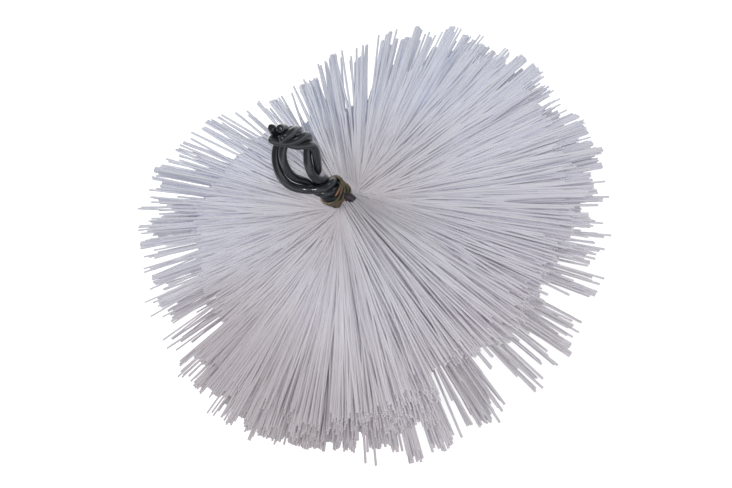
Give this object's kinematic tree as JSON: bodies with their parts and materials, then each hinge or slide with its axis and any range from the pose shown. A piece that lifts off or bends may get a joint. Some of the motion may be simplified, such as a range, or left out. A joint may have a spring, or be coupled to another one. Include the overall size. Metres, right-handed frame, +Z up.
{
  "type": "chimney sweep brush",
  "caption": "Chimney sweep brush: straight plastic bristles fan out from a bundle tied across its middle with twisted steel wire, which forms an eye for the pulling rope.",
  "frame": {"origin": "on the floor under the middle of the bristle bundle, at the middle of the object's box", "axes": "+Z up from the bristle tips to the eye of wire, +X along the bundle where the wires go round it, -Y towards the front"},
  "size_m": [0.2566, 0.2556, 0.2016],
  "materials": {
    "bristle": "milky white",
    "wire": "dark annealed",
    "binding": "rusty olive brown"
  },
  "bodies": {
    "root": {"bristle_tuft_middle": "bristle", "bristle_tuft_front_upper": "bristle", "bristle_tuft_front_side": "bristle", "bristle_tuft_front_lower": "bristle", "bristle_tuft_front_bottom": "bristle", "bristle_tuft_back_upper": "bristle", "bristle_tuft_back_side": "bristle", "bristle_tuft_back_lower": "bristle", "bristle_tuft_back_bottom": "bristle", "eye_wire_a": "wire", "eye_wire_b": "wire", "neck_binding": "binding"}
  },
  "joints": []
}
